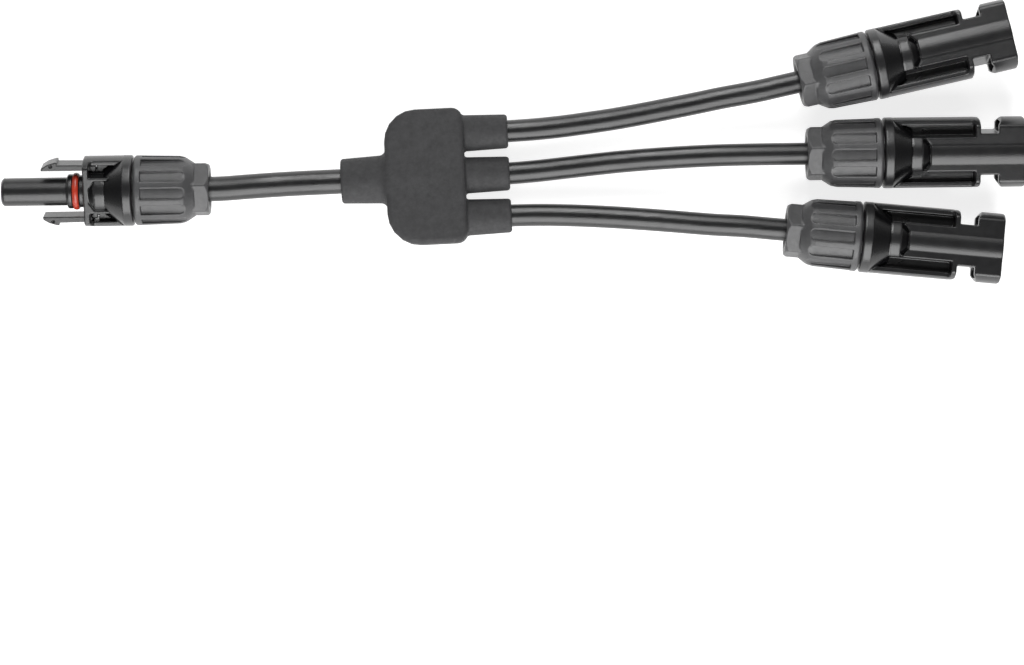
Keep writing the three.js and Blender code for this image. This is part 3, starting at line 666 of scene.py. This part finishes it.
# ---------------------------------------------------------------- materials
class Shader:
    """A principled material whose nodes are added by short calls."""

    def __init__(self, name, **values):
        self.material = bpy.data.materials.new(name)
        self.material.use_nodes = True
        self.nodes = self.material.node_tree.nodes
        self.links = self.material.node_tree.links
        self.surface = self.nodes["Principled BSDF"]
        for socket, value in values.items():
            self.surface.inputs[socket.replace("_", " ")].default_value = value
        self.coordinates = self.nodes.new("ShaderNodeTexCoord").outputs["Object"]

    def stretched(self, scale):
        """Object coordinates scaled by three factors."""
        mapping = self.nodes.new("ShaderNodeMapping")
        mapping.inputs["Scale"].default_value = scale
        self.links.new(self.coordinates, mapping.inputs["Vector"])
        return mapping.outputs["Vector"]

    def noise(self, scale, detail=3, roughness=0.55, vector=None):
        """Noise with scale features a metre."""
        node = self.nodes.new("ShaderNodeTexNoise")
        node.inputs["Scale"].default_value = scale
        node.inputs["Detail"].default_value = detail
        node.inputs["Roughness"].default_value = roughness
        self.links.new(vector or self.coordinates, node.inputs["Vector"])
        return node.outputs["Fac"]

    def remap(self, value, low, high, out_low, out_high):
        node = self.nodes.new("ShaderNodeMapRange")
        limits = {"From Min": low, "From Max": high, "To Min": out_low, "To Max": out_high}
        for socket, number in limits.items():
            node.inputs[socket].default_value = number
        self.links.new(value, node.inputs["Value"])
        return node.outputs["Result"]

    def mix(self, share, first, second):
        """A colour between two others, each a colour or a socket."""
        node = self.nodes.new("ShaderNodeMix")
        node.data_type = "RGBA"
        self.links.new(share, node.inputs["Factor"])
        for socket, colour in (("A", first), ("B", second)):
            target = next(s for s in node.inputs if s.name == socket and s.type == "RGBA")
            if isinstance(colour, tuple):
                target.default_value = (*colour, 1)
            else:
                self.links.new(colour, target)
        return next(s for s in node.outputs if s.type == "RGBA")

    def set(self, socket, value):
        self.links.new(value, self.surface.inputs[socket])

    def bump(self, height, distance, strength=1.0):
        node = self.nodes.new("ShaderNodeBump")
        node.inputs["Distance"].default_value = distance
        node.inputs["Strength"].default_value = strength
        self.links.new(height, node.inputs["Height"])
        previous = self.surface.inputs["Normal"].links
        if previous:
            self.links.new(previous[0].from_socket, node.inputs["Normal"])
        self.set("Normal", node.outputs["Normal"])

    def colour(self, noise, spread, first, second):
        """Sets a base colour that goes from first to second with the middle of the noise."""
        share = self.remap(noise, 0.5 - spread, 0.5 + spread, 0, 1)
        self.set("Base Color", self.mix(share, first, second))

    def roughness(self, noise, low, high):
        """Sets a roughness that goes from low to high with the middle of the noise."""
        self.set("Roughness", self.remap(noise, 0.3, 0.7, low, high))

    def attribute(self, name):
        node = self.nodes.new("ShaderNodeAttribute")
        node.attribute_name = name
        return node.outputs["Fac"]


def nut_plastic():
    s = Shader("nut_plastic", Specular_IOR_Level=0.5)
    s.colour(s.noise(260, 4), 0.15, (0.039, 0.039, 0.0402), (0.052, 0.052, 0.0534))
    s.roughness(s.noise(900, 3), 0.36, 0.46)
    s.bump(s.noise(1700, 4, 0.7), 0.0001, 0.45)
    s.bump(s.noise(5200, 2), 0.00005, 0.5)
    return s.material


def housing_plastic():
    """Black plastic whose cone and dome are polished and, as painted shade, darker in colour, and the rest finely
    textured.
    """
    s = Shader("housing_plastic", Specular_IOR_Level=0.5)
    polished_and_shaded = s.attribute("polish_and_painted_shade")
    blotches = s.remap(s.noise(300, 3), 0.35, 0.65, 0, 1)
    matte = s.mix(blotches, (0.010, 0.010, 0.0105), (0.015, 0.015, 0.0155))
    # Painted shade: the polished cone and dome get a blacker base colour than the rest, standing in for the dark
    # reflection they show.
    s.set("Base Color", s.mix(polished_and_shaded, matte, (0.003, 0.003, 0.0033)))
    s.set("Roughness", s.remap(polished_and_shaded, 0, 1, 0.28, 0.12))
    s.bump(s.remap(s.noise(1500, 3), 0.3, 0.7, 0.26, 0.36), 0.00002, 0.4)
    s.bump(s.noise(1900, 4, 0.7), 0.00007, 0.4)
    s.bump(s.noise(6500, 2), 0.00003, 0.35)
    return s.material


def moulding_rubber():
    s = Shader("moulding_rubber", Specular_IOR_Level=0.35)
    s.colour(s.noise(420, 5, 0.65), 0.18, (0.026, 0.026, 0.027), (0.038, 0.038, 0.0394))
    s.roughness(s.noise(1400, 3), 0.62, 0.78)
    s.bump(s.noise(900, 4, 0.6), 0.00008, 0.5)
    s.bump(s.noise(4200, 3), 0.00006, 0.55)
    return s.material


def sheath_rubber():
    """Black rubber with fine lines along x, which is nearly along every lead."""
    s = Shader("sheath_rubber", Specular_IOR_Level=0.5)
    lines = s.noise(1, 3, vector=s.stretched((60, 2600, 2600)))
    s.colour(s.noise(350, 4), 0.15, (0.007, 0.007, 0.0074), (0.011, 0.011, 0.0114))
    s.roughness(lines, 0.26, 0.37)
    s.bump(lines, 0.00004, 0.45)
    s.bump(s.noise(5000, 2), 0.00003, 0.3)
    return s.material


def ring_silicone():
    s = Shader("ring_silicone", Specular_IOR_Level=0.5, Subsurface_Weight=0.08,
               Subsurface_Scale=0.0006)
    s.colour(s.noise(700, 3), 0.2, (0.30, 0.022, 0.009), (0.41, 0.038, 0.016))
    s.roughness(s.noise(1500, 2), 0.28, 0.4)
    s.bump(s.noise(3500, 2), 0.00003, 0.3)
    return s.material


def seal_rubber():
    s = Shader("seal_rubber", Specular_IOR_Level=0.4)
    s.colour(s.noise(500, 3), 0.2, (0.20, 0.21, 0.22), (0.27, 0.28, 0.29))
    s.roughness(s.noise(1500, 2), 0.5, 0.65)
    s.bump(s.noise(4000, 2), 0.00004, 0.4)
    return s.material


def metal(name, dark, light, roughness):
    s = Shader(name, Metallic=1.0)
    scratches = s.noise(1, 3, vector=s.stretched((5200, 500, 500)))
    s.colour(s.noise(800, 3), 0.2, dark, light)
    s.roughness(scratches, roughness - 0.06, roughness + 0.08)
    s.bump(scratches, 0.00002, 0.3)
    return s.material


MATERIALS = {
    "nut": nut_plastic(), "housing": housing_plastic(), "overmould": moulding_rubber(),
    "sheath": sheath_rubber(), "ring": ring_silicone(), "seal": seal_rubber(),
    "tinned_copper": metal("tinned_copper", (0.62, 0.63, 0.65), (0.74, 0.75, 0.77), 0.26),
    "bare_copper": metal("bare_copper", (0.62, 0.28, 0.15), (0.74, 0.37, 0.22), 0.32),
}


# ---------------------------------------------------------------- pieces
# The profiles of each housing's polished cone and dome, which also carry a painted shade, as (x, radius).
HOUSING_POLISH_AND_SHADE = [[(22.55, 9.37), (27.75, 6.2)], [(30.3, 6.3), (32.4, 5.2)]]
POLISH_AND_SHADE_FULL, POLISH_AND_SHADE_FADE = 0.06, 0.1  # full polish and painted shade this near a profile, and gone this much further


def mark_polish_and_shade(obj, profiles):
    """Marks how polished each point is, and so how much painted shade it gets, from 0 to 1: 1 on the turned faces
    with the profiles.
    """
    co = np.zeros(len(obj.data.vertices) * 3, np.float32)
    obj.data.vertices.foreach_get("co", co)
    x, y, z = co.reshape(-1, 3).T / MM
    rho = np.hypot(y, z)
    polish_and_painted_shade = np.zeros(len(x), np.float32)
    for profile in profiles:
        stations, radii = zip(*profile)
        gap = np.abs(rho - np.interp(x, stations, radii))
        near = np.clip(1 + (POLISH_AND_SHADE_FULL - gap) / POLISH_AND_SHADE_FADE, 0, 1)
        polish_and_painted_shade = np.maximum(polish_and_painted_shade, window(x, stations[0], stations[-1], POLISH_AND_SHADE_FADE) * near)
    obj.data.attributes.new("polish_and_painted_shade", "FLOAT", "POINT").data.foreach_set("value", polish_and_painted_shade)


def shape_mesh(name, distance, box, cell, polished_and_shaded=()):
    """The mesh of a distance, made on an object that is then removed."""
    helper = contour(name, distance, box, cell)
    mark_polish_and_shade(helper, polished_and_shaded)
    mesh = helper.data
    bpy.data.objects.remove(helper)
    return mesh


def finish_piece(obj, place, body, slot, node):
    obj.matrix_world = place
    obj.data.materials.clear()
    obj.data.materials.append(MATERIALS[slot])
    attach(obj, body)
    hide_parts(node)


def add_gland(name, nut_mesh, cage_mesh):
    housing_place, nut_place = PLACES[name]
    nut = link_object(f"{name}_nut", nut_mesh)
    finish_piece(nut, nut_place, f"{name}_nut", "nut", f"{name}_gland_nut")
    cage = link_object(f"{name}_cage", cage_mesh)
    finish_piece(cage, nut_place, f"{name}_cage", "housing", f"{name}_clamp_cage")
    seal = gland_seal(f"{name}_seal", SHEATH[name])
    finish_piece(seal, housing_place, "splitter", "seal", f"{name}_gland_seal")


def cage_mesh_for(name, lead):
    box = box_round_axis(CAGE_START, CAGE_END, CAGE_RADIUS)
    return shape_mesh(name, clamp_cage(SHEATH[lead]), box, 0.22)


def add_branches(nut_mesh):
    cage_mesh = cage_mesh_for("branch_cage", "branch_1")
    shell_box = box_round_axis(SPIGOT_START, SHELL_LENGTH, HOUSING_REACH)
    shell_mesh = shape_mesh("branch_shell", shell_housing, shell_box, 0.25, HOUSING_POLISH_AND_SHADE)
    for name in BRANCHES:
        place, _ = PLACES[name]
        shell = link_object(f"{name}_shell", shell_mesh)
        finish_piece(shell, place, "splitter", "housing", f"{name}_shell_housing")
        pin = contact(f"{name}_pin", PIN_BARREL, PIN_FRONT)
        finish_piece(pin, place, "splitter", "tinned_copper", f"{name}_pin_contact")
        add_gland(name, nut_mesh, cage_mesh)


def add_fingers(place):
    for side, sign in (("left", 1), ("right", -1)):
        low, high = sorted((5.4 * sign, 8.6 * sign))
        box = ((29.9, low, -FINGER_HALF_HEIGHT), (44.4, high, FINGER_HALF_HEIGHT))
        mesh = shape_mesh(f"finger_{side}", latch_finger(sign), box, 0.13)
        finger = link_object(f"trunk_finger_{side}", mesh)
        finish_piece(finger, place, f"latch_{side}", "housing", f"trunk_latch_finger_{side}")


def add_trunk(nut_mesh):
    place, _ = PLACES["trunk"]
    add_gland("trunk", nut_mesh, cage_mesh_for("trunk_cage", "trunk"))
    probe_box = box_round_axis(SPIGOT_START, PROBE_LENGTH, HOUSING_REACH)
    probe_mesh = shape_mesh("trunk_probe", probe_housing, probe_box, 0.24, HOUSING_POLISH_AND_SHADE)
    probe = link_object("trunk_probe", probe_mesh)
    finish_piece(probe, place, "splitter", "housing", "trunk_probe_housing")
    add_fingers(place)
    ring = sealing_ring("trunk_ring")
    finish_piece(ring, place, "splitter", "ring", "trunk_sealing_ring")
    socket = contact("trunk_socket", SOCKET_BARREL, SOCKET_FRONT)
    finish_piece(socket, place, "splitter", "tinned_copper", "trunk_socket_contact")
    band = contact_band("trunk_band")
    finish_piece(band, place, "splitter", "tinned_copper", "trunk_contact_band")


def add_junction():
    box = ((-TRUNK_TIP, -18, 0), (BRANCH_TIP, 18, JUNCTION_HEIGHT))
    piece = contour("junction", junction, box, 0.3)
    finish_piece(piece, Matrix(), "splitter", "overmould", "junction_moulding")


def dress_carried_over():
    """Puts materials on the CAD nodes that are shown as they are."""
    slots = {"junction_splice_bar": "tinned_copper"}
    slots.update({f"{name}_cable_conductor": "bare_copper" for name in CONNECTORS})
    for node, slot in slots.items():
        mesh = frame["nodes"][node].data
        mesh.materials.clear()
        mesh.materials.append(MATERIALS[slot])


for lead in LEADS:
    lead.data.materials.append(MATERIALS["sheath"])
NUT_BOX = box_round_axis(0, NUT_LENGTH, NUT_RADIUS)
NUT_MESH = shape_mesh("gland_nut", gland_nut, NUT_BOX, 0.22)
add_branches(NUT_MESH)
add_trunk(NUT_MESH)
add_junction()
dress_carried_over()


# ---------------------------------------------------------------- floor and light
def add_floor():
    """A pale floor that glows a little, so that the shadows on it stay faint."""
    reach, glow = 4.0, 0.8
    corners = [(-reach, -reach, 0), (reach, -reach, 0), (reach, reach, 0), (-reach, reach, 0)]
    floor = mesh_object("floor", corners, [(0, 1, 2, 3)], smooth=False)
    s = Shader("pale_floor", Specular_IOR_Level=0.2)
    s.colour(s.noise(6, 2), 0.2, (0.48, 0.48, 0.48), (0.51, 0.51, 0.51))
    s.roughness(s.noise(40, 2), 0.7, 0.8)
    s.surface.inputs["Emission Strength"].default_value = glow
    s.surface.inputs["Emission Color"].default_value = (1, 1, 1, 1)
    floor.data.materials.append(s.material)


def add_softbox(name, place, size, power, target=(0.02, 0, 0.01)):
    """A wide light at a place, both in metres, facing its target."""
    data = bpy.data.lights.new(name, "AREA")
    data.shape = "RECTANGLE"
    data.size, data.size_y = size
    data.energy = power
    light = bpy.data.objects.new(name, data)
    away = Vector(place) - Vector(target)
    light.location = place
    light.rotation_euler = away.to_track_quat("Z", "Y").to_euler()
    bpy.context.scene.collection.objects.link(light)


def add_world():
    """Soft light from all round, bright near the horizon and dim overhead."""
    world = bpy.data.worlds.new("studio")
    bpy.context.scene.world = world
    world.use_nodes = True
    nodes, links = world.node_tree.nodes, world.node_tree.links
    direction = nodes.new("ShaderNodeTexCoord").outputs["Generated"]
    parts = nodes.new("ShaderNodeSeparateXYZ")
    links.new(direction, parts.inputs["Vector"])
    ramp = nodes.new("ShaderNodeValToRGB")
    stops = ((0.1, 1), (0.4, 0.14))  # a direction's upward share, and the grey there
    for element, (upward, grey) in zip(ramp.color_ramp.elements, stops):
        element.position, element.color = upward, (grey, grey, grey, 1)
    links.new(parts.outputs["Z"], ramp.inputs["Fac"])
    links.new(ramp.outputs["Color"], nodes["Background"].inputs["Color"])
    nodes["Background"].inputs["Strength"].default_value = 0.5


add_floor()
add_softbox("key_light", (0.02, -0.73, 0.54), (0.8, 0.95), 14.5)
add_softbox("fill_light", (0.02, 0.69, 0.59), (1.2, 0.7), 3.2)
add_softbox("back_light", (0.03, 0.62, 0.50), (0.15, 0.6), 3.2)
add_world()
bpy.context.scene.view_settings.view_transform = "Standard"
